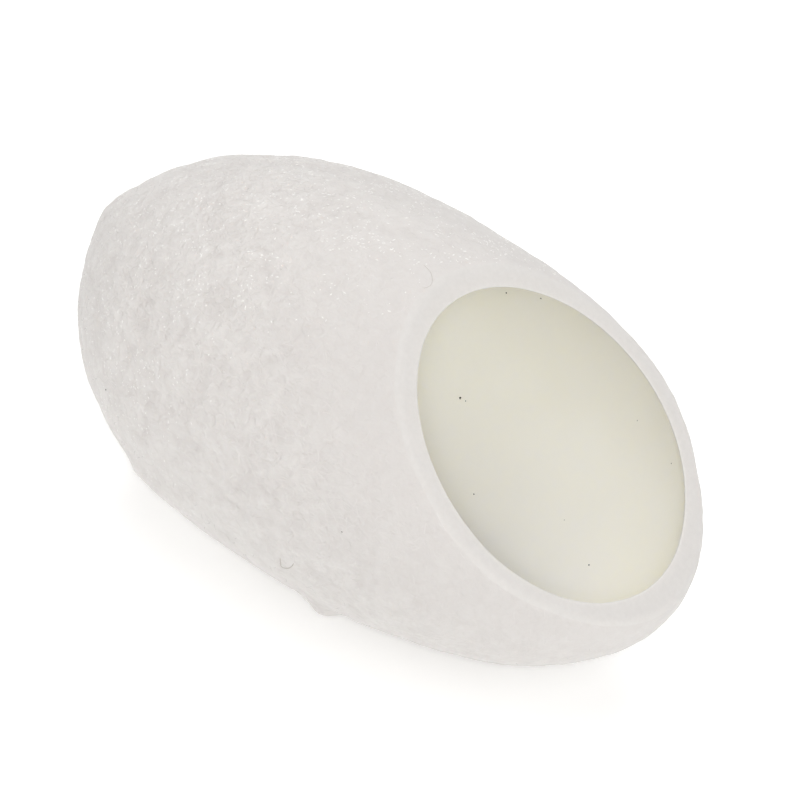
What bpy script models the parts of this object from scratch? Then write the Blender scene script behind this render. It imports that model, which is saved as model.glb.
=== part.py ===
"""A silk cocoon with one end cut away on a slant, empty, lying on its side.

The script works in metres with +Z up. The cocoon's long axis runs along X, and the cut end is
towards +X. The origin is on the small flat spot that the cocoon rests on, below the middle of
the length it had before it was cut.

A place on the cocoon is given by a direction of the unit sphere: the sphere's X is the long
axis, and the form turns each direction into a point of the shell.
"""

import math

import bmesh
import bpy
from mathutils import Vector, noise

MM = 0.001

# Driving dimensions
LENGTH = 35.0 * MM  # tip to tip as it was spun, before the cut
WAIST = 20.0 * MM  # diameter at the middle
WALL = 0.6 * MM  # thickness of the silk
SHOULDERS = 0.24  # how much fuller the ends are than an ellipsoid's
TIP_TAPER = 0.15  # how much of that fullness is gone again at the tips
SAG = 0.3 * MM  # how far the thin open tip hangs below the long axis
CUT_LEAN = math.radians(51)  # angle from the long axis to the cut's normal
CUT_DISTANCE = 9.65 * MM  # from the middle of the cocoon to the plane of the cut
RIM_ROUNDING = 0.14 * MM  # where the blade's two edges have softened
FLAT_DEPTH = 0.2 * MM  # how much of the belly is pressed flat where it rests

# Soft lumps of the spun silk
LUMP_SPACING = 3.6 * MM
LUMP_HEIGHT = 0.09 * MM

# Swells and dents of this one cocoon: where each is along the axis, its angle round the axis
# from +Y towards +Z, how far it reaches and how high it stands. A dent's height is negative.
SWELLS = {
    "corner of the closed tip": (-16.2 * MM, 107, 2.7 * MM, 0.65 * MM),
    "step on the near shoulder": (-7.9 * MM, -152, 2.1 * MM, 0.25 * MM),
    "nub of floss": (2.3 * MM, -136, 0.9 * MM, 0.4 * MM),
    "hollow of the near flank": (8.0 * MM, -133, 3.5 * MM, -0.28 * MM),
    "chin below the mouth": (16.5 * MM, -81, 4.3 * MM, 0.65 * MM),
}

# How finely the shell is faceted
AROUND = 80
OUTER_RINGS = 33
INNER_RINGS = 19
RIM_STEPS = 2

HALF_LENGTH = LENGTH / 2
HALF_WAIST = WAIST / 2
MIDDLE = Vector((0, 0, HALF_WAIST - FLAT_DEPTH))  # the middle of the cocoon before the cut
CUT_NORMAL = Vector((math.cos(CUT_LEAN), 0, math.sin(CUT_LEAN)))
# The sphere's direction that is opposite the cut. Rings of the mesh go round it, so that they
# run level with the cut.
CLOSED_POLE = -Vector((HALF_LENGTH * CUT_NORMAL.x, 0, HALF_WAIST * CUT_NORMAL.z)).normalized()


def clear_scene():
    """Removes every object of the scene that is open."""
    for thing in list(bpy.data.objects):
        bpy.data.objects.remove(thing, do_unlink=True)


def form_point(direction, depth=0.0):
    """The smooth cocoon form's point in this direction, at a depth below the outer skin."""
    along = direction.x
    fullness = 1 + SHOULDERS * along**2 - TIP_TAPER * along**4
    radius = (HALF_WAIST - depth) * fullness
    sag = SAG * max(along, 0) ** 2
    return MIDDLE + Vector(
        ((HALF_LENGTH - depth) * along, radius * direction.y, radius * direction.z - sag)
    )


def outward(direction):
    """The way out of the form in this direction, square to its skin."""
    return Vector(
        (direction.x / HALF_LENGTH, direction.y / HALF_WAIST, direction.z / HALF_WAIST)
    ).normalized()


def direction_at(along, angle):
    """The sphere's direction of a place along the axis, at an angle in degrees round it."""
    share = along / HALF_LENGTH
    off_axis = math.sqrt(1 - share**2)
    turn = math.radians(angle)
    return Vector((share, off_axis * math.cos(turn), off_axis * math.sin(turn)))


def swell_height(point):
    """How far the swells and dents raise the skin at a point of the form."""
    height = 0.0
    for along, angle, reach, rise in SWELLS.values():
        centre = form_point(direction_at(along, angle))
        height += rise * math.exp(-(((point - centre).length / reach) ** 2))
    return height


def outer_point(direction):
    """A point of the outer skin: the form with its lumps and swells, pressed flat underneath."""
    point = form_point(direction)
    lump = LUMP_HEIGHT * noise.noise(point / LUMP_SPACING)
    point += (lump + swell_height(point)) * outward(direction)
    point.z = max(point.z, 0.0)
    return point


def inner_point(direction):
    """A point of the smooth lining."""
    return form_point(direction, WALL)


def meridian_direction(polar, turn):
    """The sphere's direction at a polar angle from the closed pole, on one meridian."""
    side = Vector((0, 1, 0))
    lift = CLOSED_POLE.cross(side)
    away = side * math.cos(turn) + lift * math.sin(turn)
    return CLOSED_POLE * math.cos(polar) + away * math.sin(polar)


def polar_at_cut(point_of, turn):
    """The polar angle where a meridian of the skin meets the plane of the cut, by halving."""
    kept, cut_off = 0.0, math.pi
    for _ in range(40):
        middle = (kept + cut_off) / 2
        point = point_of(meridian_direction(middle, turn))
        if (point - MIDDLE).dot(CUT_NORMAL) < CUT_DISTANCE:
            kept = middle
        else:
            cut_off = middle
    return kept


def join_rings(bm, ring, following):
    """Adds the band of faces between two rings."""
    for step, vert in enumerate(ring):
        after = (step + 1) % AROUND
        bm.faces.new((vert, following[step], following[after], ring[after]))


def add_skin(bm, point_of, ring_count):
    """Adds the rings of one skin, from its closed pole to the cut, and returns the last ring."""
    turns = [math.tau * step / AROUND for step in range(AROUND)]
    ends = [polar_at_cut(point_of, turn) for turn in turns]
    rings = []
    for number in range(1, ring_count + 1):
        share = number / ring_count
        rings.append(
            [
                bm.verts.new(point_of(meridian_direction(end * share, turn)))
                for end, turn in zip(ends, turns)
            ]
        )
    pole = bm.verts.new(point_of(CLOSED_POLE))
    for step, vert in enumerate(rings[0]):
        bm.faces.new((pole, vert, rings[0][(step + 1) % AROUND]))
    for ring, following in zip(rings, rings[1:]):
        join_rings(bm, ring, following)
    return rings[-1]


def ring_edges(bm, ring):
    """The edges that join one ring's vertices in turn."""
    return [
        bm.edges.get((vert, ring[(step + 1) % AROUND])) for step, vert in enumerate(ring)
    ]


def shell_mesh():
    """The shell: outer skin, flat cut face with softened edges, and lining, in one closed mesh."""
    bm = bmesh.new()
    outer_rim = add_skin(bm, outer_point, OUTER_RINGS)
    inner_rim = add_skin(bm, inner_point, INNER_RINGS)
    join_rings(bm, outer_rim, inner_rim)
    bmesh.ops.recalc_face_normals(bm, faces=bm.faces)
    bmesh.ops.bevel(
        bm,
        geom=ring_edges(bm, outer_rim) + ring_edges(bm, inner_rim),
        offset=RIM_ROUNDING,
        segments=RIM_STEPS,
        profile=0.5,
        affect="EDGES",
    )
    mesh = bpy.data.meshes.new("cocoon_shell")
    bm.to_mesh(mesh)
    bm.free()
    mesh.shade_smooth()
    mesh.set_sharp_from_angle(angle=math.radians(40))
    return mesh


def spun_silk():
    """Undyed white silk: a soft warm white, dull, with no metal in it."""
    material = bpy.data.materials.new("spun_silk")
    material.use_nodes = True
    shader = material.node_tree.nodes["Principled BSDF"]
    shader.inputs["Base Color"].default_value = (0.80, 0.78, 0.74, 1)
    shader.inputs["Roughness"].default_value = 0.7
    shader.inputs["Metallic"].default_value = 0.0
    return material


def build_cocoon():
    """The cocoon is spun as one piece, so it is one object."""
    shell = bpy.data.objects.new("cocoon_shell", shell_mesh())
    shell.data.materials.append(spun_silk())
    bpy.context.scene.collection.objects.link(shell)


clear_scene()
build_cocoon()
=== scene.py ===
"""The looks of an empty white silk cocoon, cut open on a slant and lying on its side.

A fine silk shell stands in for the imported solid. Wound on it are the silkworm's own threads,
as real tubes, with flecks of its gum, two stray curls and a few grains of dust. Everything is in
metres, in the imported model's frame: +X towards the cut end, +Z up, the resting spot at the
origin.
"""

import math

import bmesh
import bpy
import numpy as np
from mathutils import Matrix, Vector, noise


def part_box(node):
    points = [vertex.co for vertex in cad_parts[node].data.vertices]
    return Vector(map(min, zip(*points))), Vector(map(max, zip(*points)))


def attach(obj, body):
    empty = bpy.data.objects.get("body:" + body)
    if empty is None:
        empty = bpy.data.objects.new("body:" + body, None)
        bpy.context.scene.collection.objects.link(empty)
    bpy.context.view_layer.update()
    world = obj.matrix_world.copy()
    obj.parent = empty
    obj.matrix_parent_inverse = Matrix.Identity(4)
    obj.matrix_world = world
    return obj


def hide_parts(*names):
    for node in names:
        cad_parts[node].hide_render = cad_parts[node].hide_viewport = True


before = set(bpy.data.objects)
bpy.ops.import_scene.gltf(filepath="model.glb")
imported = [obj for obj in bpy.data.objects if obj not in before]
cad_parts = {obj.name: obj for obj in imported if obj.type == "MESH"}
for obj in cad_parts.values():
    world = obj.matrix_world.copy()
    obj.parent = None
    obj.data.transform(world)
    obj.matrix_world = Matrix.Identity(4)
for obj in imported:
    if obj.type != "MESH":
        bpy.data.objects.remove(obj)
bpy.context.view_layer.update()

# ---------------------------------------------------------------- sizes of the cocoon

SHELL_NODE = "cocoon_shell"
LOWEST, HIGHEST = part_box(SHELL_NODE)
PACKED_WAIST_MM = 20.03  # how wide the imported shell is, lumps included
MM = (HIGHEST.y - LOWEST.y) / PACKED_WAIST_MM  # one millimetre of the cocoon, in the frame

HALF_LENGTH = 17.5 * MM  # of the cocoon before it was cut
HALF_WAIST = 10.0 * MM
WALL = 0.6 * MM
SHOULDERS = 0.24  # how much fuller the ends are than an ellipsoid's
TIP_TAPER = 0.15  # how much of that fullness is gone again at the tips
SAG = 0.3 * MM  # how far the open tip hangs below the long axis
CUT_LEAN = math.radians(51)  # from the long axis to the cut's normal
CUT_DISTANCE = 9.65 * MM  # from the middle of the cocoon to the plane of the cut
OUTER_ROUNDING = 0.36 * MM  # how far the outer skin rolls over into the face of the cut
INNER_ROUNDING = 0.2 * MM
LIP = 0.13 * MM  # how much thicker the wall is at the mouth
LIP_REACH = 1.2 * MM
FLAT_DEPTH = 0.2 * MM
MIDDLE = np.array((0.0, 0.0, HALF_WAIST - FLAT_DEPTH))
CUT_NORMAL = np.array((math.cos(CUT_LEAN), 0.0, math.sin(CUT_LEAN)))
CLOSED_POLE = -np.array((HALF_LENGTH * CUT_NORMAL[0], 0.0, HALF_WAIST * CUT_NORMAL[2]))
CLOSED_POLE /= np.linalg.norm(CLOSED_POLE)
POLE_SIDE = np.array((0.0, 1.0, 0.0))
POLE_LIFT = np.cross(CLOSED_POLE, POLE_SIDE)

# Broad lumps and swells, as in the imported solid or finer: place along the axis, angle round it
# in degrees from +Y towards +Z, reach, height, and how it falls off: 2 is a soft mound, 1 has a
# corner at its top.
LUMP_SPACING = 3.6 * MM
LUMP_HEIGHT = 0.09 * MM
SWELLS = {
    "corner of the closed tip": (-16.3 * MM, 110, 2.6 * MM, 0.7 * MM, 1.2),
    "flat top of the closed end": (-9.8 * MM, 59, 4.2 * MM, -0.12 * MM, 2),
    "flat top before the mouth": (2.4 * MM, 35, 3.2 * MM, -0.12 * MM, 2),
    "step on the near shoulder": (-7.9 * MM, -152, 2.1 * MM, 0.25 * MM, 2),
    "pinch above the step": (-9.6 * MM, -161, 0.6 * MM, -0.24 * MM, 2),
    "knee of the step": (-8.75 * MM, -157, 0.75 * MM, 0.12 * MM, 2),
    "fullness after the step": (-4.6 * MM, -147, 2.0 * MM, 0.11 * MM, 2),
    "nub of floss": (2.4 * MM, -137, 0.9 * MM, 0.5 * MM, 2),
    "notch beside the nub": (3.65 * MM, -136, 0.35 * MM, -0.25 * MM, 2),
    "flat beyond the nub": (6.0 * MM, -133, 2.6 * MM, -0.06 * MM, 2),
    "hollow of the near flank": (8.0 * MM, -133, 3.5 * MM, -0.28 * MM, 2),
    "chin below the mouth": (16.5 * MM, -81, 4.3 * MM, 0.65 * MM, 2),
}

# Crumples that the silk dries into: (spacing, height), coarse to fine
CRUMPLES = ((1.7 * MM, 0.05 * MM), (0.85 * MM, 0.055 * MM), (0.42 * MM, 0.03 * MM))
CRUMPLE_WARP = 0.35 * MM  # how far the crumples are pushed about, so that they look pulled
WARP_SPACING = 1.3 * MM
CREASE = 0.5  # how much of a crumple is a crease rather than a lump
MEAN_LUMP = 0.25  # of the noise, so that creases leave the skin where it is
SMOOTH_MOUTH = 6.5 * MM  # how far back from the cut the crumples fade
CRUMPLE_LEFT_AT_CUT = 0.4
RELIEF_RANGE = 0.06 * MM
RELIEF_SHADE_MARK = "crumples"
LINING_SPACING = 4.5 * MM
LINING_HEIGHT = 0.05 * MM

# Threads. A real one is 0.02 to 0.03 mm wide; these are a little wider, so that they show.
THREAD_SEED = 7
THREAD_WIDTH = 0.032 * MM
THREAD_HEIGHT = 0.005 * MM  # that a thread stands proud: it lies half sunk in the felt
THREAD_STEP = 0.25 * MM
THREAD_STEPS = 120
THREAD_COUNT = 120
THREADS_TRIED = 3  # starts drawn for each one kept
THREAD_WANDER = 0.03  # radians a step
MEANDER_LENGTH = (5.0 * MM, 9.0 * MM)
MEANDER_SWING = (1.4, 2.2)  # radians to each side
BRIDGED_STEPS = 5
DIP_LENGTH = (1.0 * MM, 5.0 * MM)
DIP_SHARE = 1.0
THREADS_BURIED = 1.2  # heights of a thread
THREADS_SINK_FROM = 9.0 * MM
SUNK_AT_CUT = 1.8
THREAD_MARGIN = 0.004  # of the way from the pole to the cut
SHORTEST_RUN = 6

# Flecks of gum, painted whiter than the felt as painted glints: real ones are 0.02 to 0.05 mm
# wide, and these a little wider
FLECK_SEED = 11
FLECKS_TRIED = 30000
FLECK_DRIFT = 1.6 * MM
FLECK_STRAY = 0.5
FLECKS_FROM = 0.2
PAINTED_GLINTS_THIN_TOWARDS = (1.0, -1.0, 0.0)  # the open end and the near side, away from where the painted glints gather
PAINTED_GLINTS_FADE = (-2.0 * MM, 6.0 * MM)  # that way, from all of them to none
FLECK_WIDTH = (0.045 * MM, 0.1 * MM)
FLECK_SLIMNESS = (1.0, 1.6)  # squared: length over width
FLECK_HEIGHT = 0.3  # share of the width

# Grains of dust: place along the axis, angle round it and width
DUST_OUTSIDE = ((-10.6 * MM, 176.5, 0.12 * MM), (5.4 * MM, 167.6, 0.09 * MM))
DUST_INSIDE = (
    (0.0 * MM, 5.1, 0.12 * MM),
    (2.4 * MM, 12.3, 0.12 * MM),
    (-1.25 * MM, -37.9, 0.16 * MM),
    (-0.9 * MM, -37.9, 0.08 * MM),
    (9.6 * MM, -8.4, 0.08 * MM),
    (12.9 * MM, -8.1, 0.09 * MM),
    (2.2 * MM, -61.4, 0.12 * MM),
    (7.6 * MM, -53.9, 0.08 * MM),
    (10.5 * MM, -63.0, 0.12 * MM),
)
GRAIN_CORNERS = 16
GRAIN_SLIMNESS = (0.6, 1.1)
GRAIN_FLATNESS = 0.4  # of its height is gone
DUST_SEED = 3

# Loose turns of thread that stand off the skin: how wide each is, then its places along the axis
# and angles round it
CURLS = {
    "curl_on_top": (
        0.02 * MM,
        (1.75 * MM, 86.6),
        (2.1 * MM, 87.2),
        (2.5 * MM, 88.2),
        (2.85 * MM, 90.0),
        (3.0 * MM, 91.6),
        (2.95 * MM, 93.0),
        (2.75 * MM, 94.2),
    ),
    "hook_on_the_near_flank": (
        0.05 * MM,
        (1.74 * MM, -168.8),
        (1.71 * MM, -166.8),
        (1.71 * MM, -165.0),
        (1.91 * MM, -165.0),
        (2.21 * MM, -166.3),
        (2.46 * MM, -168.2),
        (2.66 * MM, -170.5),
    ),
}
CURL_LIFT = 0.04 * MM
CURL_ARCH = 2.0  # lifts of the middle of a curl
CURL_SUNK = 0.5  # lifts that its ends are sunk by
CURL_STEPS = 8  # between one place and the next

# How far light spreads in the open felt, and in the smooth lining, which passes it on further.
# Red light gets furthest and blue least.
FELT_SPREAD = 0.4 * MM
LINING_SPREAD = 3.0 * MM
SPREAD_BY_COLOUR = (1.0, 0.97, 0.94)
LINING_SPREAD_BY_COLOUR = (1.0, 0.95, 0.75)
SILK_IOR = 1.54  # of raw silk, across the fibre
THREAD_IOR = 1.56  # between that and 1.59 along the fibre
FELT_FINISH = {
    "Roughness": 0.5,
    "IOR": SILK_IOR,
    "Subsurface Weight": 0.8,
    "Subsurface Radius": SPREAD_BY_COLOUR,
    "Subsurface Scale": FELT_SPREAD,
    "Specular IOR Level": 0.05,  # felt this open hardly shines
}

# The felt's tint and its finest relief. The tint is painted light and shade: lighter where the
# relief stands up, on crests, clumps and drawn threads, and darker in its hollows, over a mottle
# of the felt's own uneven tone.
MOTTLE_SPACING = 0.4 * MM
MOTTLE_CONTRAST = (0.3, 0.7)
CLUMP_HEIGHT = 0.55
CLUMP_PAINTED_LIGHT = 0.6  # how much painted light the clumps put on the felt, and how much the drawn threads do, with painted shade where they sink
THREAD_PAINTED_LIGHT = 0.15
TINT_RANGE = 1.4
THREAD_RELIEF = 0.3
FELT_RELIEF = 0.04 * MM
SMOOTHEST = 0.5 * MM  # how far before the cut the felt is at its smoothest
# Spacing, strands side by side and width of the threads drawn in the felt. Real ones are 0.02
# to 0.03 mm wide, and these a little wider, so that they show.
COARSE_THREADS = (1.6 * MM, 4, 0.05 * MM)
FINE_THREADS = (0.9 * MM, 3, 0.04 * MM)
OPEN_END_WHITENESS = 0.92
SLICE_GRAIN = 0.25 * MM
SLICE_CONTRAST = (0.3, 0.7)  # where in the noise its darker and its lighter tint lie
PAPER_GRAIN = 0.35 * MM
CLOUD_SPACING = 2.5 * MM
SMOOTH_RELIEF = 0.02 * MM  # of the cut face and of the lining
SLICE_RELIEF_LEFT = 0.25  # shares of it
LINING_RELIEF_LEFT = 0.1
# The lining is painted yellowest and lightest at the closed end and paler and duller towards the
# mouth: painted light deep in the hollow.
LINING_PAINTED_LIGHT_FADES_TOWARDS = (1.0, 0.0, 0.0)
LINING_PAINTED_LIGHT_SPAN = (-5.0 * MM, 11.0 * MM)  # that way, through the middle of the cocoon
LINING_CLOUD = 0.2  # how much of the tint is cloudy rather than a plain fade

AROUND = 400
OUTER_RINGS = 186
FACE_RINGS = 5
LINING_RINGS = 44
ROUNDING_STEPS = 5
ROUNDED_ROWS = 3  # rows of the outer skin that the rounding takes the place of
HALVINGS = 26  # to find the cut, which leaves far less than a thousandth of a millimetre
BEFORE_CUT = 0.5  # radians from the closed pole, a turn that is before the cut on every side


# ---------------------------------------------------------------- the form of the shell

def form_points(ways, depth=0.0):
    """Points of the smooth cocoon form in these directions, at a depth below its skin."""
    along = ways[..., 0]
    radius = (HALF_WAIST - depth) * (1 + SHOULDERS * along**2 - TIP_TAPER * along**4)
    sag = SAG * np.maximum(along, 0) ** 2
    x = (HALF_LENGTH - depth) * along
    return MIDDLE + np.stack((x, radius * ways[..., 1], radius * ways[..., 2] - sag), -1)


def outward(ways):
    """The ways out of the form in these directions, square to its skin."""
    out = ways / np.array((HALF_LENGTH, HALF_WAIST, HALF_WAIST))
    return out / np.linalg.norm(out, axis=-1, keepdims=True)


def way_at(along, angle):
    """The direction of a place along the axis, at an angle in degrees round it."""
    share = along / HALF_LENGTH
    off_axis = math.sqrt(1 - share**2)
    turn = math.radians(angle)
    return np.array((share, off_axis * math.cos(turn), off_axis * math.sin(turn)))


def ways_to(points):
    """The directions in which the form reaches these points, the inverse of form_points."""
    from_middle = points - MIDDLE
    along = from_middle[..., 0] / HALF_LENGTH
    radius = HALF_WAIST * (1 + SHOULDERS * along**2 - TIP_TAPER * along**4)
    sag = SAG * np.maximum(along, 0) ** 2
    ways = np.stack(
        (along, from_middle[..., 1] / radius, (from_middle[..., 2] + sag) / radius), -1
    )
    return ways / np.linalg.norm(ways, axis=-1, keepdims=True)


def swell_heights(points):
    """How far the swells and dents raise the skin at points of the form."""
    heights = np.zeros(points.shape[:-1])
    for along, angle, reach, rise, fall in SWELLS.values():
        centre = form_points(way_at(along, angle))
        away = np.linalg.norm(points - centre, axis=-1) / reach
        heights += rise * np.exp(-(away**fall))
    return heights


def noise_at(points, spacing):
    """Smooth noise, about -1 to 1, with lumps this far apart, at each of the points."""
    flat = (points / spacing).reshape(-1, 3)
    return np.array([noise.noise(Vector(place)) for place in flat]).reshape(points.shape[:-1])


def crumples(points):
    """The small relief of the dried silk: pulled lumps with creases, less towards the cut."""
    flat = points.reshape(-1, 3)
    warp = np.array([noise.noise_vector(Vector(place)) for place in flat / WARP_SPACING])
    warped = points + warp.reshape(points.shape) * CRUMPLE_WARP
    height = np.zeros(points.shape[:-1])
    for spacing, rise in CRUMPLES:
        lump = noise_at(warped, spacing)
        height += rise * (lump + CREASE * (MEAN_LUMP - np.abs(lump)))
    before_cut = CUT_DISTANCE - (points - MIDDLE) @ CUT_NORMAL
    fade = np.clip(before_cut / SMOOTH_MOUTH, 0, 1)
    return height * (CRUMPLE_LEFT_AT_CUT + (1 - CRUMPLE_LEFT_AT_CUT) * fade)


def outer_points(ways):
    """Points of the outer skin, with every lump, swell and crumple, pressed flat underneath."""
    points = form_points(ways)
    heights = LUMP_HEIGHT * noise_at(points, LUMP_SPACING) + crumples(points)
    heights += swell_heights(points)
    points = points + heights[..., None] * outward(ways)
    points[..., 2] = np.maximum(points[..., 2], 0.0)
    return points


def lining_points(ways):
    """Points of the lining: smooth, with only long soft waves and a thicker lip at the mouth."""
    points = form_points(ways, WALL)
    heights = LINING_HEIGHT * noise_at(points, LINING_SPACING)
    before_cut = CUT_DISTANCE - (points - MIDDLE) @ CUT_NORMAL
    heights -= LIP * np.exp(-((before_cut / LIP_REACH) ** 2))
    return points + heights[..., None] * outward(ways)


def meridian_ways(polar, turns):
    """Directions at polar angles from the closed pole, on meridians at these turns."""
    away = np.cos(turns)[..., None] * POLE_SIDE + np.sin(turns)[..., None] * POLE_LIFT
    return np.cos(polar)[..., None] * CLOSED_POLE + np.sin(polar)[..., None] * away


def polar_at_cut(points_of, turns):
    """Where each meridian of a skin meets the plane of the cut, found by halving."""
    kept = np.full(len(turns), BEFORE_CUT)
    cut_off = np.full(len(turns), math.pi)
    for _ in range(HALVINGS):
        between = (kept + cut_off) / 2
        side = (points_of(meridian_ways(between, turns)) - MIDDLE) @ CUT_NORMAL
        kept = np.where(side < CUT_DISTANCE, between, kept)
        cut_off = np.where(side < CUT_DISTANCE, cut_off, between)
    return kept


class Skin:
    """One skin of the shell as a grid: row 0 is the closed pole, the last row is at the cut."""

    def __init__(self, points_of, ring_count):
        self.turns = np.linspace(0, math.tau, AROUND, endpoint=False)
        self.ends = polar_at_cut(points_of, self.turns)
        shares = np.linspace(0, 1, ring_count + 1)
        polar = shares[:, None] * self.ends
        ways = meridian_ways(polar, np.broadcast_to(self.turns, polar.shape))
        self.form = form_points(ways)
        self.grid = points_of(ways)

    def at(self, ways):
        """Points of the skin in these directions, and how far each is from the pole: past 1
        it is beyond the cut."""
        polar = np.arccos(np.clip(ways @ CLOSED_POLE, -1, 1))
        turn = np.arctan2(ways @ POLE_LIFT, ways @ POLE_SIDE) % math.tau
        column = turn / math.tau * AROUND
        left = np.floor(column).astype(int) % AROUND
        right = (left + 1) % AROUND
        across = column - np.floor(column)
        reach = polar / (self.ends[left] * (1 - across) + self.ends[right] * across)
        rings = len(self.grid) - 1
        row = np.clip(reach, 0, 1) * rings
        low = np.minimum(np.floor(row).astype(int), rings - 1)
        up = (row - low)[..., None]
        across = across[..., None]
        below = self.grid[low, left] * (1 - across) + self.grid[low, right] * across
        above = self.grid[low + 1, left] * (1 - across) + self.grid[low + 1, right] * across
        return below * (1 - up) + above * up, reach


def rounded_corner(before, corner, after):
    """Rows of points that turn a corner softly, from before it to after it."""
    rows = []
    for step in range(ROUNDING_STEPS + 1):
        share = step / ROUNDING_STEPS
        rows.append(
            before * (1 - share) ** 2 + corner * 2 * share * (1 - share) + after * share**2
        )
    return rows


def step_back(points, towards, distance):
    """Points moved a distance towards others."""
    line = towards - points
    return points + line * distance / np.linalg.norm(line, axis=-1, keepdims=True)


def shell_rows(outer, lining):
    """The rows of the whole shell, from the outer pole over the rim to the lining's pole,
    with the wall's share of depth at each row and the part that each band of faces is."""
    outer_rim, inner_rim = outer.grid[-1], lining.grid[-1]
    outer_corner = rounded_corner(
        step_back(outer_rim, outer.grid[-2], OUTER_ROUNDING),
        outer_rim,
        step_back(outer_rim, inner_rim, OUTER_ROUNDING),
    )
    inner_corner = rounded_corner(
        step_back(inner_rim, outer_rim, INNER_ROUNDING),
        inner_rim,
        step_back(inner_rim, lining.grid[-2], INNER_ROUNDING),
    )
    face = [
        outer_corner[-1] * (1 - share) + inner_corner[0] * share
        for share in np.linspace(0, 1, FACE_RINGS + 1)[1:-1]
    ]
    rows = list(outer.grid[1:-ROUNDED_ROWS]) + outer_corner + face + inner_corner
    rows += list(lining.grid[-2:0:-1])
    bands = ["outside"] * (len(outer.grid) - ROUNDED_ROWS)
    bands += ["cut"] * (len(outer_corner) + len(face) + len(inner_corner) - 2)
    bands += ["inside"] * (len(rows) - 1 - len(bands))
    return rows, bands


# ---------------------------------------------------------------- meshes from points

def mesh_object(name, points, faces, materials, face_materials=None, smooth=True):
    """A mesh object from points and faces of three or four corners."""
    mesh = bpy.data.meshes.new(name)
    mesh.from_pydata(points.tolist(), [], faces)
    for material in materials:
        mesh.materials.append(material)
    if face_materials is not None:
        mesh.polygons.foreach_set("material_index", face_materials)
    if smooth:
        mesh.shade_smooth()
    mesh.update()
    piece = bpy.data.objects.new(name, mesh)
    bpy.context.scene.collection.objects.link(piece)
    return piece


def dress(piece):
    """Makes a piece part of the cocoon."""
    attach(piece, "root")
    return piece


# ---------------------------------------------------------------- materials

def silk_colour(hex_colour):
    """An sRGB hex colour as linear red, green, blue and alpha."""
    parts = [int(hex_colour[i : i + 2], 16) / 255 for i in (1, 3, 5)]
    linear = [c / 12.92 if c <= 0.04045 else ((c + 0.055) / 1.055) ** 2.4 for c in parts]
    return (*linear, 1.0)


def add_node(material, kind, settings=None, links=None):
    """Adds one node with its settings, and links its inputs to other nodes' outputs.

    A setting is an input socket's value, or a property of the node where no input has that
    name. A link is input: (node, output).
    """
    node = material.node_tree.nodes.new(kind)
    for name, value in (settings or {}).items():
        if name in node.inputs.keys() or isinstance(name, int):
            node.inputs[name].default_value = value
        else:
            setattr(node, name, value)
    for name, (source, output) in (links or {}).items():
        material.node_tree.links.new(source.outputs[output], node.inputs[name])
    return node


def new_material(name):
    """An empty node material with its output."""
    material = bpy.data.materials.new(name)
    material.use_nodes = True
    material.node_tree.nodes.clear()
    return material


def wire_surface(material, shader):
    """Connects the shader to the material's output."""
    output = add_node(material, "ShaderNodeOutputMaterial")
    material.node_tree.links.new(shader.outputs["BSDF"], output.inputs["Surface"])


def thread_lines(material, place, spacing, strands, width):
    """The felt's threads as long curving ridges: level lines of three smooth noises, a few
    side by side. Gives a node and output that is 1 on a thread and 0 between."""
    fields = add_node(
        material,
        "ShaderNodeTexNoise",
        {"Scale": 1 / spacing, "Detail": 1.0, "Roughness": 0.4, "Distortion": 0.6},
        {"Vector": (place, "Object")},
    )
    channels = add_node(
        material, "ShaderNodeSeparateColor", links={"Color": (fields, "Color")}
    )
    lines = None
    for channel in ("Red", "Green", "Blue"):
        off_line = add_node(
            material,
            "ShaderNodeMath",
            {"operation": "PINGPONG", 1: 0.5 / strands},
            {0: (channels, channel)},
        )
        ridge = add_node(
            material,
            "ShaderNodeMapRange",
            {
                "interpolation_type": "SMOOTHSTEP",
                "From Max": width / spacing,
                "To Min": 1.0,
                "To Max": 0.0,
            },
            {"Value": (off_line, "Value")},
        )
        if lines is None:
            lines, output = ridge, "Result"
        else:
            lines = add_node(
                material,
                "ShaderNodeMath",
                {"operation": "MAXIMUM"},
                {0: (lines, output), 1: (ridge, "Result")},
            )
            output = "Value"
    return lines, output


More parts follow.
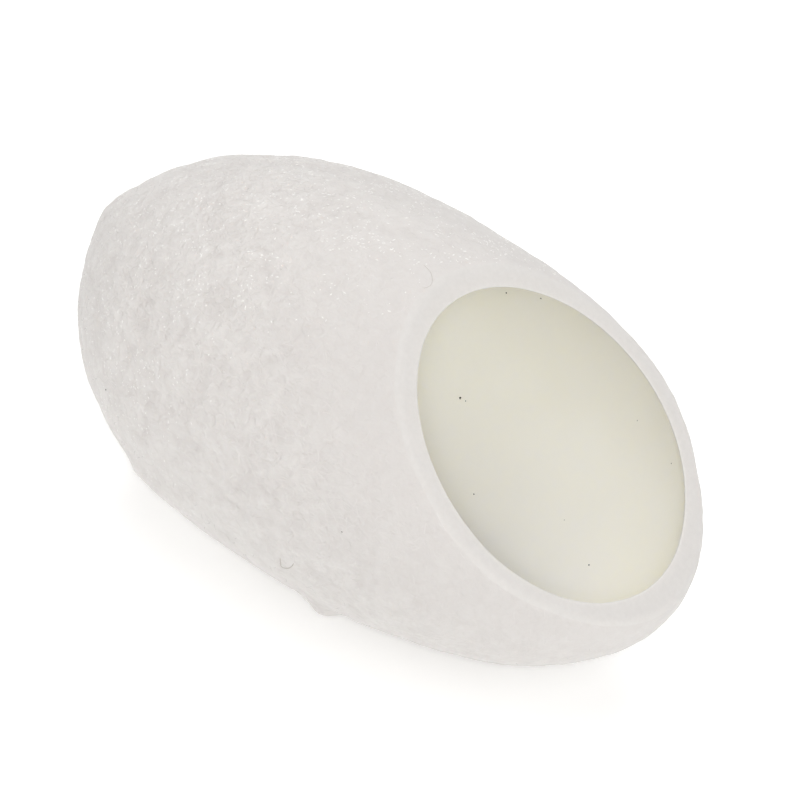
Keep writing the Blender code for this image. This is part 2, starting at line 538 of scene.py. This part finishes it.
def gummed_silk():
    """Raw silk felt: thread laid wet and glued by its own gum as it dries. It gives the eye a
    soft, faintly glowing white, with painted shade in the hollows and painted light on threads
    and crests."""
    material = new_material("gummed_silk")
    place = add_node(material, "ShaderNodeTexCoord")
    relief = add_node(material, "ShaderNodeAttribute", {"attribute_name": RELIEF_SHADE_MARK})
    mottle = add_node(
        material,
        "ShaderNodeTexNoise",
        {"Scale": 1 / MOTTLE_SPACING, "Detail": 2.0, "Roughness": 0.6, "Distortion": 0.8},
        {"Vector": (place, "Object")},
    )
    clumps = add_node(
        material,
        "ShaderNodeMapRange",
        {
            "From Min": MOTTLE_CONTRAST[0],
            "From Max": MOTTLE_CONTRAST[1],
            "To Min": -CLUMP_HEIGHT,
            "To Max": CLUMP_HEIGHT,
        },
        {"Value": (mottle, "Fac")},
    )
    # The felt is smoother towards the mouth, where the cut has pressed it.
    towards_cut = add_node(
        material,
        "ShaderNodeVectorMath",
        {"operation": "DOT_PRODUCT", 1: tuple(CUT_NORMAL)},
        {0: (place, "Object")},
    )
    cut_height = CUT_DISTANCE + float(MIDDLE @ CUT_NORMAL)
    rough = add_node(
        material,
        "ShaderNodeMapRange",
        {
            "From Min": cut_height - SMOOTH_MOUTH,
            "From Max": cut_height - SMOOTHEST,
            "To Min": 1.0,
            "To Max": CRUMPLE_LEFT_AT_CUT,
        },
        {"Value": (towards_cut, "Value")},
    )
    coarse = thread_lines(material, place, *COARSE_THREADS)
    fine = thread_lines(material, place, *FINE_THREADS)
    threads = add_node(
        material, "ShaderNodeMath", {"operation": "ADD"}, {0: coarse, 1: fine}
    )
    height = add_node(
        material,
        "ShaderNodeMath",
        {"operation": "MULTIPLY_ADD", 1: CLUMP_PAINTED_LIGHT},
        {0: (relief, "Fac"), 2: (clumps, "Result")},
    )
    lit = add_node(
        material,
        "ShaderNodeMath",
        {"operation": "MULTIPLY_ADD", 1: THREAD_PAINTED_LIGHT},
        {0: (threads, "Value"), 2: (height, "Value")},
    )
    calmed = add_node(
        material,
        "ShaderNodeMath",
        {"operation": "MULTIPLY"},
        {0: (lit, "Value"), 1: (rough, "Result")},
    )
    share = add_node(
        material,
        "ShaderNodeMapRange",
        {"From Min": -TINT_RANGE, "From Max": TINT_RANGE},
        {"Value": (calmed, "Value")},
    )
    # Painted light and shade: lighter on what stands up, darker in the hollows.
    tint = add_node(material, "ShaderNodeValToRGB", links={"Fac": (share, "Result")})
    tint.color_ramp.elements[0].color = silk_colour("#D3CECB")
    tint.color_ramp.elements[1].color = silk_colour("#E4E1DE")
    # The felt is whitest at the closed end and a little duller towards the open one.
    parts = add_node(material, "ShaderNodeSeparateXYZ", links={"Vector": (place, "Object")})
    whiteness = add_node(
        material,
        "ShaderNodeMapRange",
        {
            "From Min": -HALF_LENGTH,
            "From Max": HALF_LENGTH,
            "To Min": 1.0,
            "To Max": OPEN_END_WHITENESS,
        },
        {"Value": (parts, "X")},
    )
    dulled = add_node(
        material,
        "ShaderNodeVectorMath",
        {"operation": "SCALE"},
        {0: (tint, "Color"), "Scale": (whiteness, "Result")},
    )
    rise = add_node(
        material,
        "ShaderNodeMath",
        {"operation": "MULTIPLY_ADD", 1: THREAD_RELIEF},
        {0: (threads, "Value"), 2: (clumps, "Result")},
    )
    bump = add_node(
        material,
        "ShaderNodeBump",
        {"Distance": FELT_RELIEF},
        {"Height": (rise, "Value"), "Strength": (rough, "Result")},
    )
    shader = add_node(
        material,
        "ShaderNodeBsdfPrincipled",
        FELT_FINISH,
        {"Base Color": (dulled, "Vector"), "Normal": (bump, "Normal")},
    )
    wire_surface(material, shader)
    return material


def sliced_silk():
    """The cut face: a blade's clean slice through the felt. It gives the eye an even white of
    very fine grain, with no threads or crumples."""
    material = new_material("sliced_silk")
    place = add_node(material, "ShaderNodeTexCoord")
    grain = add_node(
        material,
        "ShaderNodeTexNoise",
        {"Scale": 1 / SLICE_GRAIN, "Detail": 3.0, "Roughness": 0.6},
        {"Vector": (place, "Object")},
    )
    tint = add_node(material, "ShaderNodeValToRGB", links={"Fac": (grain, "Fac")})
    tint.color_ramp.elements[0].position = SLICE_CONTRAST[0]
    tint.color_ramp.elements[0].color = silk_colour("#D5D2CF")
    tint.color_ramp.elements[1].position = SLICE_CONTRAST[1]
    tint.color_ramp.elements[1].color = silk_colour("#D9D6D3")
    relief = add_node(
        material,
        "ShaderNodeBump",
        {"Strength": SLICE_RELIEF_LEFT, "Distance": SMOOTH_RELIEF},
        {"Height": (grain, "Fac")},
    )
    shader = add_node(
        material,
        "ShaderNodeBsdfPrincipled",
        FELT_FINISH,
        {"Base Color": (tint, "Color"), "Normal": (relief, "Normal")},
    )
    wire_surface(material, shader)
    return material


def lining_silk():
    """The lining: the last and finest silk, laid flat like thin paper. It gives the eye an even
    ivory with hardly any texture, and painted light makes it lighter and yellower towards the
    closed end."""
    material = new_material("lining_silk")
    place = add_node(material, "ShaderNodeTexCoord")
    cloud = add_node(
        material,
        "ShaderNodeTexNoise",
        {"Scale": 1 / CLOUD_SPACING, "Detail": 3.0, "Roughness": 0.5},
        {"Vector": (place, "Object")},
    )
    across = add_node(
        material,
        "ShaderNodeVectorMath",
        {"operation": "DOT_PRODUCT", 1: LINING_PAINTED_LIGHT_FADES_TOWARDS},
        {0: (place, "Object")},
    )
    along = add_node(
        material,
        "ShaderNodeMapRange",
        {"From Min": LINING_PAINTED_LIGHT_SPAN[0], "From Max": LINING_PAINTED_LIGHT_SPAN[1], "To Max": 1.0 - LINING_CLOUD},
        {"Value": (across, "Value")},
    )
    share = add_node(
        material,
        "ShaderNodeMath",
        {"operation": "MULTIPLY_ADD", 1: LINING_CLOUD},
        {0: (cloud, "Fac"), 2: (along, "Result")},
    )
    tint = add_node(material, "ShaderNodeValToRGB", links={"Fac": (share, "Value")})
    # The first colour, deep towards the closed end, is painted light: lighter and yellower than
    # the second.
    tint.color_ramp.elements[0].color = silk_colour("#FCF6E7")
    tint.color_ramp.elements[1].color = silk_colour("#F6F2E7")
    paper = add_node(
        material,
        "ShaderNodeTexNoise",
        {"Scale": 1 / PAPER_GRAIN, "Detail": 2.0, "Roughness": 0.5},
        {"Vector": (place, "Object")},
    )
    relief = add_node(
        material,
        "ShaderNodeBump",
        {"Strength": LINING_RELIEF_LEFT, "Distance": SMOOTH_RELIEF},
        {"Height": (paper, "Fac")},
    )
    shader = add_node(
        material,
        "ShaderNodeBsdfPrincipled",
        {
            "Roughness": 0.55,
            "IOR": SILK_IOR,
            "Subsurface Weight": 1.0,
            "Subsurface Radius": LINING_SPREAD_BY_COLOUR,
            "Subsurface Scale": LINING_SPREAD,
            "Specular IOR Level": 0.3,
        },
        {"Base Color": (tint, "Color"), "Normal": (relief, "Normal")},
    )
    wire_surface(material, shader)
    return material


def silk_thread():
    """A single thread, two filaments in a glaze of gum. It gives the eye a hair of the felt's
    own white, smooth along its length, so that a turn of it can catch the light."""
    material = new_material("silk_thread")
    shader = add_node(
        material,
        "ShaderNodeBsdfPrincipled",
        {
            "Base Color": silk_colour("#E1DDDA"),
            "Roughness": 0.25,
            "IOR": THREAD_IOR,
            "Specular IOR Level": 0.6,
        },
    )
    wire_surface(material, shader)
    return material


def plain_material(name, hex_colour, roughness):
    """A material of one dull colour, for things too small to show more."""
    material = new_material(name)
    settings = {"Base Color": silk_colour(hex_colour), "Roughness": roughness}
    wire_surface(material, add_node(material, "ShaderNodeBsdfPrincipled", settings))
    return material


# ---------------------------------------------------------------- the shell

def mark_relief_for_painted_shade(shell, outer):
    """Keeps the height of the crumples on the mesh, for painted light on crests and painted
    shade in hollows.
    """
    heights = crumples(outer.form[1:-ROUNDED_ROWS]) / RELIEF_RANGE
    marks = np.zeros(len(shell.data.vertices))
    marks[: heights.size] = np.clip(heights, -1, 1).ravel()
    relief = shell.data.attributes.new(RELIEF_SHADE_MARK, "FLOAT", "POINT")
    relief.data.foreach_set("value", marks)


def build_shell(outer, lining, silk, slice_face, inside):
    """The whole shell in one closed mesh: crumpled outside, rounded cut face, smooth lining."""
    rows, bands = shell_rows(outer, lining)
    points = np.concatenate([row.reshape(-1, 3) for row in rows])
    outer_pole, lining_pole = len(points), len(points) + 1
    points = np.concatenate([points, outer.grid[0, :1], lining.grid[0, :1]])
    last_row = (len(rows) - 1) * AROUND
    faces = []
    face_materials = []
    kinds = {"outside": 0, "cut": 1, "inside": 2}
    steps = np.arange(AROUND)
    after = (steps + 1) % AROUND
    for here, following in zip(steps.tolist(), after.tolist()):
        faces.append((outer_pole, following, here))
        face_materials.append(kinds["outside"])
    for number in range(len(rows) - 1):
        low, high = number * AROUND, (number + 1) * AROUND
        band = np.stack((low + steps, low + after, high + after, high + steps), 1)
        faces += band.tolist()
        face_materials += [kinds[bands[number]]] * AROUND
    for here, following in zip(steps.tolist(), after.tolist()):
        faces.append((last_row + here, last_row + following, lining_pole))
        face_materials.append(kinds["inside"])
    shell = mesh_object(
        "silk_shell", points, faces, (silk, slice_face, inside), face_materials
    )
    mark_relief_for_painted_shade(shell, outer)
    dress(shell)
    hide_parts(SHELL_NODE)


# ---------------------------------------------------------------- the silkworm's threads

def spread_ways(rng, count):
    """Directions spread evenly over the form's skin, a little fewer than the count."""
    ways = rng.normal(size=(count, 3))
    ways /= np.linalg.norm(ways, axis=1, keepdims=True)
    # The long flanks have more room than the tips for the same spread of directions.
    room = np.sqrt(1 - ways[:, 0] ** 2 * (1 - (HALF_WAIST / HALF_LENGTH) ** 2))
    return ways[rng.uniform(size=count) < room]


def wind_threads(rng, count, steps):
    """Paths of threads over the form, marched side by side: directions, [thread, step]."""
    ways = spread_ways(rng, THREADS_TRIED * count)[:count]
    normals = outward(ways)
    heading = np.cross(normals, rng.normal(size=(count, 3)))
    heading /= np.linalg.norm(heading, axis=1, keepdims=True)
    length = rng.uniform(*MEANDER_LENGTH, count)
    swing = rng.uniform(*MEANDER_SWING, count)
    start = rng.uniform(0, math.tau, count)
    path = [ways]
    for step in range(1, steps):
        wave = math.tau * THREAD_STEP / length
        turn = swing * wave * np.cos(wave * step + start) + rng.normal(0, THREAD_WANDER, count)
        turn = turn[:, None]
        heading = heading * np.cos(turn) + np.cross(normals, heading) * np.sin(turn)
        ways = ways_to(form_points(ways) + heading * THREAD_STEP)
        normals = outward(ways)
        heading -= normals * np.sum(heading * normals, axis=1, keepdims=True)
        heading /= np.linalg.norm(heading, axis=1, keepdims=True)
        path.append(ways)
    return np.stack(path, 1)


def lay_thread(rng, skin, ways):
    """The runs of one thread on the skin, up to the cut: (points, normals) of each. The thread
    bridges the small hollows, and dips in and out of the felt."""
    points, reach = skin.at(ways)
    normals = outward(ways)
    heights = np.sum((points - form_points(ways)) * normals, axis=1)
    window = np.ones(BRIDGED_STEPS) / BRIDGED_STEPS
    padded = np.pad(heights, BRIDGED_STEPS // 2, mode="edge")
    bridged = np.convolve(padded, window, mode="valid")
    along = np.arange(len(ways)) * THREAD_STEP
    dips = sum(
        np.sin(math.tau * along / rng.uniform(*DIP_LENGTH) + rng.uniform(0, math.tau))
        for _ in range(3)
    )
    before_cut = CUT_DISTANCE - (points - MIDDLE) @ CUT_NORMAL
    sunk = 1 - np.clip(before_cut / THREADS_SINK_FROM, 0, 1)
    lift = THREAD_HEIGHT * (DIP_SHARE * dips - THREADS_BURIED - SUNK_AT_CUT * sunk)
    points = points + (bridged - heights + lift)[:, None] * normals
    on_skin = np.flatnonzero(reach < 1 - THREAD_MARGIN)
    runs = np.split(on_skin, np.flatnonzero(np.diff(on_skin) > 1) + 1)
    return [(points[run], normals[run]) for run in runs if len(run) >= SHORTEST_RUN]


def thread_tube(points, normals, width, height):
    """A thread as a closed three-sided tube, flat side down: its points and its triangles."""
    ahead = np.gradient(points, axis=0)
    side = np.cross(ahead, normals)
    side *= width / 2 / np.linalg.norm(side, axis=1, keepdims=True)
    tube = np.stack((points - side, points + normals * height, points + side), 1)
    ring = np.arange(3)
    near = np.arange(len(points) - 1)[:, None] * 3 + ring
    beside = near - ring + (ring + 1) % 3
    bands = np.concatenate(
        [
            np.stack((near, beside, beside + 3), -1).reshape(-1, 3),
            np.stack((near, beside + 3, near + 3), -1).reshape(-1, 3),
            [[2, 1, 0]],
            [3 * len(points) - 3 + ring],
        ]
    )
    return tube.reshape(-1, 3), bands


def join_small(name, tubes, material):
    """Many small closed meshes as one object, none of it below the floor."""
    offsets = np.cumsum([0] + [len(points) for points, _ in tubes[:-1]])
    points = np.concatenate([points for points, _ in tubes])
    points[:, 2] = np.maximum(points[:, 2], 0.0)
    faces = np.concatenate([faces + start for (_, faces), start in zip(tubes, offsets)])
    return dress(mesh_object(name, points, faces.tolist(), [material], smooth=False))


def see_through(threads):
    """Threads this thin let the light through to the felt under them."""
    threads.visible_shadow = False
    threads.visible_diffuse = False


def build_threads(skin, material):
    """The top threads of the felt, in meanders over the whole outside."""
    rng = np.random.default_rng(THREAD_SEED)
    tubes = []
    for ways in wind_threads(rng, THREAD_COUNT, THREAD_STEPS):
        for points, normals in lay_thread(rng, skin, ways):
            tubes.append(thread_tube(points, normals, THREAD_WIDTH, THREAD_HEIGHT))
    see_through(join_small("wound_threads", tubes, material))


def build_flecks_with_painted_glints(skin, material):
    """Flecks of dried gum and ends of thread that stand a hair proud of the felt, in drifts, as
    small flattened eight-sided lozenges, painted whiter than the felt as painted glints."""
    rng = np.random.default_rng(FLECK_SEED)
    ways = spread_ways(rng, FLECKS_TRIED)
    points, reach = skin.at(ways)
    drift = noise_at(points, FLECK_DRIFT) + rng.uniform(-FLECK_STRAY, FLECK_STRAY, len(ways))
    first, last = PAINTED_GLINTS_FADE
    share = (last - points @ np.array(PAINTED_GLINTS_THIN_TOWARDS)) / (last - first)
    lucky = rng.uniform(size=len(ways)) < share
    kept = (reach < 1 - THREAD_MARGIN) & (drift > FLECKS_FROM) & lucky
    points, ways = points[kept], ways[kept]
    normals = outward(ways)
    ahead = np.cross(normals, rng.normal(size=normals.shape))
    ahead /= np.linalg.norm(ahead, axis=1, keepdims=True)
    side = np.cross(normals, ahead)
    width = rng.uniform(*FLECK_WIDTH, len(points))[:, None]
    length = width * rng.uniform(*FLECK_SLIMNESS, len(points))[:, None] ** 2
    height = width * FLECK_HEIGHT
    corners = np.stack(
        (
            points + normals * height,
            points + ahead * length / 2,
            points + side * width / 2,
            points - ahead * length / 2,
            points - side * width / 2,
            points - normals * height,
        ),
        1,
    )
    faces = [(0, 1 + step, 1 + (step + 1) % 4) for step in range(4)]
    faces += [(5, 1 + (step + 1) % 4, 1 + step) for step in range(4)]
    lozenges = [(lozenge, np.array(faces)) for lozenge in corners]
    see_through(join_small("gum_flecks_painted_glints", lozenges, material))


# ---------------------------------------------------------------- curls and dust

def smooth_path(places):
    """A curve through places, as many places between each two as CURL_STEPS."""
    places = np.array(places)
    first, last = 2 * places[:1] - places[1:2], 2 * places[-1:] - places[-2:-1]
    padded = np.concatenate([first, places, last])
    path = []
    for before, here, following, after in zip(padded, padded[1:], padded[2:], padded[3:]):
        for step in range(CURL_STEPS):
            t = step / CURL_STEPS
            path.append(
                here
                + (following - before) * t / 2
                + (2 * before - 5 * here + 4 * following - after) * t**2 / 2
                + (3 * here - before - 3 * following + after) * t**3 / 2
            )
    path.append(places[-1])
    return np.array(path)


def build_curls(skin, material):
    """The two loose turns of thread, painted dark as painted shade for the shadow lines beside
    them.
    """
    for name, (width, *places) in CURLS.items():
        path = smooth_path(places)
        ways = np.array([way_at(along, angle) for along, angle in path])
        points, _ = skin.at(ways)
        normals = outward(ways)
        # Each stands off in the middle and has its ends in the felt.
        arch = np.sin(np.linspace(0, math.pi, len(path)))[:, None]
        points = points + normals * (arch * CURL_ARCH - CURL_SUNK) * CURL_LIFT
        tube = thread_tube(points, normals, width, width / 2)
        see_through(join_small(name, [tube], material))


def grain(rng, centre, normal, width):
    """A flattish crumb with corners, half sunk in the silk, as a closed mesh."""
    corners = rng.normal(size=(GRAIN_CORNERS, 3))
    corners *= width / 2 / np.linalg.norm(corners, axis=1, keepdims=True)
    corners *= rng.uniform(*GRAIN_SLIMNESS, (1, 3))
    corners -= GRAIN_FLATNESS * (corners @ normal)[:, None] * normal
    bm = bmesh.new()
    for corner in corners:
        bm.verts.new(centre + corner)
    bmesh.ops.convex_hull(bm, input=bm.verts, use_existing_faces=False)
    unused = [vert for vert in bm.verts if not vert.link_faces]
    bmesh.ops.delete(bm, geom=unused, context="VERTS")
    bm.verts.index_update()
    points = np.array([vert.co[:] for vert in bm.verts])
    faces = np.array([[vert.index for vert in face.verts] for face in bm.faces])
    bm.free()
    return points, faces


def build_dust(outer, lining, material):
    """The few dark grains, outside and in the hollow."""
    rng = np.random.default_rng(DUST_SEED)
    grains = []
    for skin, places, side in ((outer, DUST_OUTSIDE, 1), (lining, DUST_INSIDE, -1)):
        for along, angle, width in places:
            way = way_at(along, angle)[None]
            points, _ = skin.at(way)
            grains.append(grain(rng, points[0], side * outward(way)[0], width))
    join_small("dust_grains", grains, material)


# ---------------------------------------------------------------- studio

PHOTO_AZIMUTH = 39.63  # the photo's view, in degrees round from +Y and above the horizon
PHOTO_ELEVATION = 44.09
PHOTO_ROLL = 0.73
CAMERA_DISTANCE = 250 * MM
PICTURE_SIDE = 800  # pixels
PIXELS_PER_MM = 20.53  # at the middle of the cocoon
COCOON_IN_PICTURE = (384.6, 404.3)  # where the cocoon's middle shows, in pixels
SENSOR_WIDTH = 36.0
CAMERA_SEES = (10 * MM, 3000 * MM)

# The light: an evenly white room, and soft boxes by where they stand (degrees round from +Y and
# above the horizon), how wide they are and how strong.
ROOM_LIGHT = 0.385
FLOOR_GLOW = 0.17
SOFT_BOXES = {
    "beside the camera": (40, 44, 30 * MM, 0.3),
    "over the mouth": (85, 40, 200 * MM, 0.15),
    "over the closed end": (-50, 40, 160 * MM, 0.122),
    "overhead": (0, 90, 200 * MM, 0.23),
    "over the back": (208, 34, 80 * MM, 0.185),
}
SOFT_BOX_DISTANCE = 300 * MM
FLOOR_REACH = 1200 * MM
FLOOR_DROP = 0.02 * MM  # below the resting spot, so that the two never share a plane


def view_axes(azimuth, elevation, roll):
    """The picture's right, up and back in the frame, for a view."""
    turn, tilt, lean = (math.radians(a) for a in (azimuth, elevation, roll))
    back = Vector(
        (math.sin(turn) * math.cos(tilt), -math.cos(turn) * math.cos(tilt), math.sin(tilt))
    )
    right = Vector((math.cos(turn), math.sin(turn), 0))
    up = back.cross(right)
    leant_right = right * math.cos(lean) + up * math.sin(lean)
    leant_up = up * math.cos(lean) - right * math.sin(lean)
    return leant_right, leant_up, back


def set_camera():
    """A long lens at the photo's angle, aimed so that the cocoon sits where it does there."""
    right, up, back = view_axes(PHOTO_AZIMUTH, PHOTO_ELEVATION, PHOTO_ROLL)
    across = (PICTURE_SIDE / 2 - COCOON_IN_PICTURE[0]) / PIXELS_PER_MM * MM
    down = (PICTURE_SIDE / 2 - COCOON_IN_PICTURE[1]) / PIXELS_PER_MM * MM
    aim = Vector(MIDDLE) + right * across - up * down
    lens = bpy.data.cameras.new("camera")
    lens.sensor_width = SENSOR_WIDTH
    lens.lens = PIXELS_PER_MM / MM * CAMERA_DISTANCE / PICTURE_SIDE * SENSOR_WIDTH
    lens.clip_start, lens.clip_end = CAMERA_SEES
    camera = bpy.data.objects.new("camera", lens)
    camera.matrix_world = Matrix.Translation(aim + back * CAMERA_DISTANCE) @ Matrix(
        (right, up, back)
    ).transposed().to_4x4()
    bpy.context.scene.collection.objects.link(camera)
    bpy.context.scene.camera = camera


def soft_light(name, azimuth, elevation, side, power):
    """A square soft box that faces the cocoon from a direction."""
    _, _, back = view_axes(azimuth, elevation, 0)
    box = bpy.data.lights.new(name, "AREA")
    box.shape = "SQUARE"
    box.size = side
    box.energy = power
    lamp = bpy.data.objects.new(name, box)
    lamp.location = Vector(MIDDLE) + back * SOFT_BOX_DISTANCE
    lamp.rotation_mode = "QUATERNION"
    lamp.rotation_quaternion = back.to_track_quat("Z", "Y")
    bpy.context.scene.collection.objects.link(lamp)


def build_studio():
    """A pale plain floor, lit a little from below, in an evenly white room."""
    world = bpy.data.worlds.new("studio")
    world.use_nodes = True
    world.node_tree.nodes["Background"].inputs["Color"].default_value = (1, 1, 1, 1)
    world.node_tree.nodes["Background"].inputs["Strength"].default_value = ROOM_LIGHT
    bpy.context.scene.world = world
    bpy.context.scene.view_settings.view_transform = "Standard"
    for name, (azimuth, elevation, side, power) in SOFT_BOXES.items():
        soft_light(name, azimuth, elevation, side, power)

    paper = new_material("white_paper")
    shader = add_node(
        paper,
        "ShaderNodeBsdfPrincipled",
        {
            "Base Color": silk_colour("#FBFBFA"),
            "Roughness": 0.9,
            "Specular IOR Level": 0.1,
            "Emission Color": (1, 1, 1, 1),
            "Emission Strength": FLOOR_GLOW,
        },
    )
    wire_surface(paper, shader)
    ways_out = ((-1, -1), (1, -1), (1, 1), (-1, 1))
    corners = np.array([(x * FLOOR_REACH, y * FLOOR_REACH, -FLOOR_DROP) for x, y in ways_out])
    mesh_object("floor", corners, [(0, 1, 2, 3)], [paper])


# ---------------------------------------------------------------- the making

set_camera()
build_studio()

outer_skin = Skin(outer_points, OUTER_RINGS)
lining_skin = Skin(lining_points, LINING_RINGS)
build_shell(outer_skin, lining_skin, gummed_silk(), sliced_silk(), lining_silk())
build_threads(outer_skin, silk_thread())
# Dried gum is glassy and clear; these flecks are painted whiter than the felt, as painted
# glints, and their gloss catches the lamps too.
build_flecks_with_painted_glints(outer_skin, plain_material("dried_gum_painted_glints", "#F2F0ED", 0.2))
# Loose turns of thread painted dark, as painted shade for the shadow lines beside them, and
# crumbs of leaf and soil
build_curls(outer_skin, plain_material("thread_with_painted_shade", "#B5AEA6", 0.5))
build_dust(outer_skin, lining_skin, plain_material("dark_crumb", "#3A312A", 0.9))
